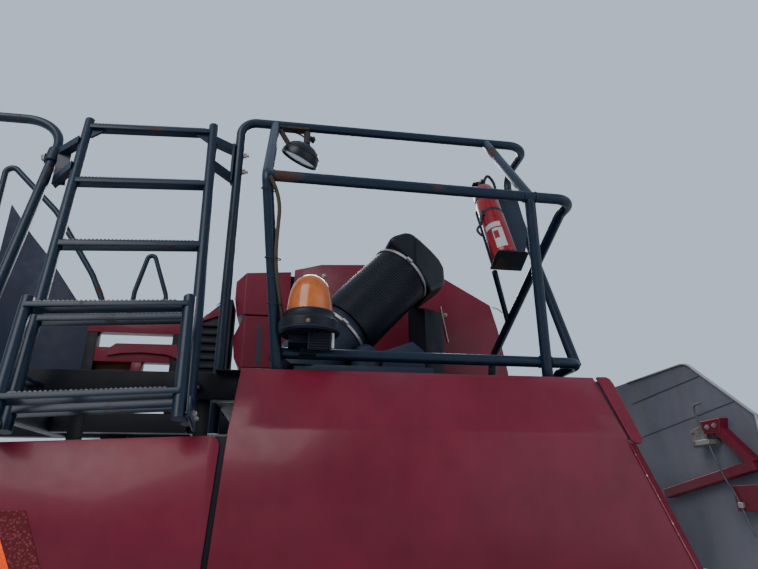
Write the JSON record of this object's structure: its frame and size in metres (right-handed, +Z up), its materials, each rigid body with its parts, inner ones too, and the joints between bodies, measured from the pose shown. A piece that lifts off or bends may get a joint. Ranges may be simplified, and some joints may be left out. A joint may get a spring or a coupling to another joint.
{
  "type": "engine deck corner of a combine harvester",
  "caption": "Corner of a harvester engine deck: guard rails, folding ladder, side shields, hood, intake duct, beacon and tail door on a bolted deck frame.",
  "frame": {"origin": "centre of the four mounting holes, on the underside of the deck frame pads", "axes": "+X to the machine rear, +Y inboard, +Z up"},
  "size_m": [2.86, 1.574, 1.7548],
  "materials": {
    "red_paint": "glossy wine red",
    "rail_paint": "satin black with rust patches",
    "frame_paint": "satin dark grey",
    "tank_paint": "dark navy, dusty",
    "ochre_paint": "dull orange-brown",
    "grey_panel": "matt grey inner face",
    "grey_plastic": "matt slate grey",
    "black_plastic": "satin black",
    "amber_lens": "clear amber",
    "bare_steel": "dull zinc",
    "rusty_black": "satin black, rusty",
    "extinguisher_red": "glossy red"
  },
  "bodies": {
    "deck": {"air_duct": "black_plastic", "bay_panel": "ochre_paint", "bay_rails": "red_paint", "bay_stand": "frame_paint", "beacon_base": "black_plastic", "beacon_lens": "amber_lens", "bottom_rail": "rail_paint", "breather_cap": "grey_plastic", "cabinet_bracket": "red_paint", "crossbeams": "frame_paint", "deck_plate": "frame_paint", "down_duct": "black_plastic", "duct_bands": "bare_steel", "duct_elbow": "black_plastic", "duct_inlet": "grey_plastic", "duct_plinth": "grey_plastic", "extinguisher": "extinguisher_red", "extinguisher_bracket": "rusty_black", "extinguisher_strut": "rail_paint", "far_rail": "rail_paint", "fold_lugs": "rail_paint", "front_hoop_leg": "rail_paint", "front_hoop_post": "rail_paint", "front_shield": "red_paint", "hood_main": "red_paint", "hood_side_box": "red_paint", "hoop_post": "rail_paint", "inner_beam": "frame_paint", "ladder_brackets": "rail_paint", "ladder_feet": "rail_paint", "ladder_rungs": "rail_paint", "ladder_stiles": "rail_paint", "latch_box": "grey_plastic", "left_end_frame": "rail_paint", "mid_rail": "rail_paint", "mount_pads": "frame_paint", "outer_beam": "frame_paint", "peak_hoop": "rail_paint", "radiator_cabinet": "frame_paint", "rear_leg": "rail_paint", "rear_return": "rail_paint", "right_end_frame": "rail_paint", "screen_slats": "black_plastic", "shield_brackets": "frame_paint", "shield_hinge_clevises": "frame_paint", "tail_hinge_clevises": "frame_paint", "tail_post": "frame_paint", "tank_side_plate": "tank_paint", "top_rail": "rail_paint", "work_lamp": "rusty_black"},
    "lower_ladder": {"lower_ladder_stiles": "rail_paint", "lower_ladder_steps": "rail_paint"},
    "rear_side_shield": {"rear_shield": "red_paint", "rear_shield_trim": "red_paint", "rear_shield_hinges": "frame_paint"},
    "tail_end_door": {"tail_door": "grey_panel", "tail_door_frame": "frame_paint", "tail_door_hinges": "frame_paint"}
  },
  "joints": [
    {"name": "ladder_fold", "type": "hinge", "parent": "deck", "child": "lower_ladder", "pos_m": [-0.53044, -0.80026, -0.07035], "axis": [0.998, 0.0158, 0.0604], "range_deg": [0, 180]},
    {"name": "rear_shield_hinge", "type": "hinge", "parent": "deck", "child": "rear_side_shield", "pos_m": [0, -0.622, 0.092], "axis": [-1, 0, 0], "range_deg": [0, 80]},
    {"name": "tail_door_hinge", "type": "hinge", "parent": "deck", "child": "tail_end_door", "pos_m": [1.348, 0.198, 0], "axis": [0, 0, 1], "range_deg": [0, 100]}
  ]
}
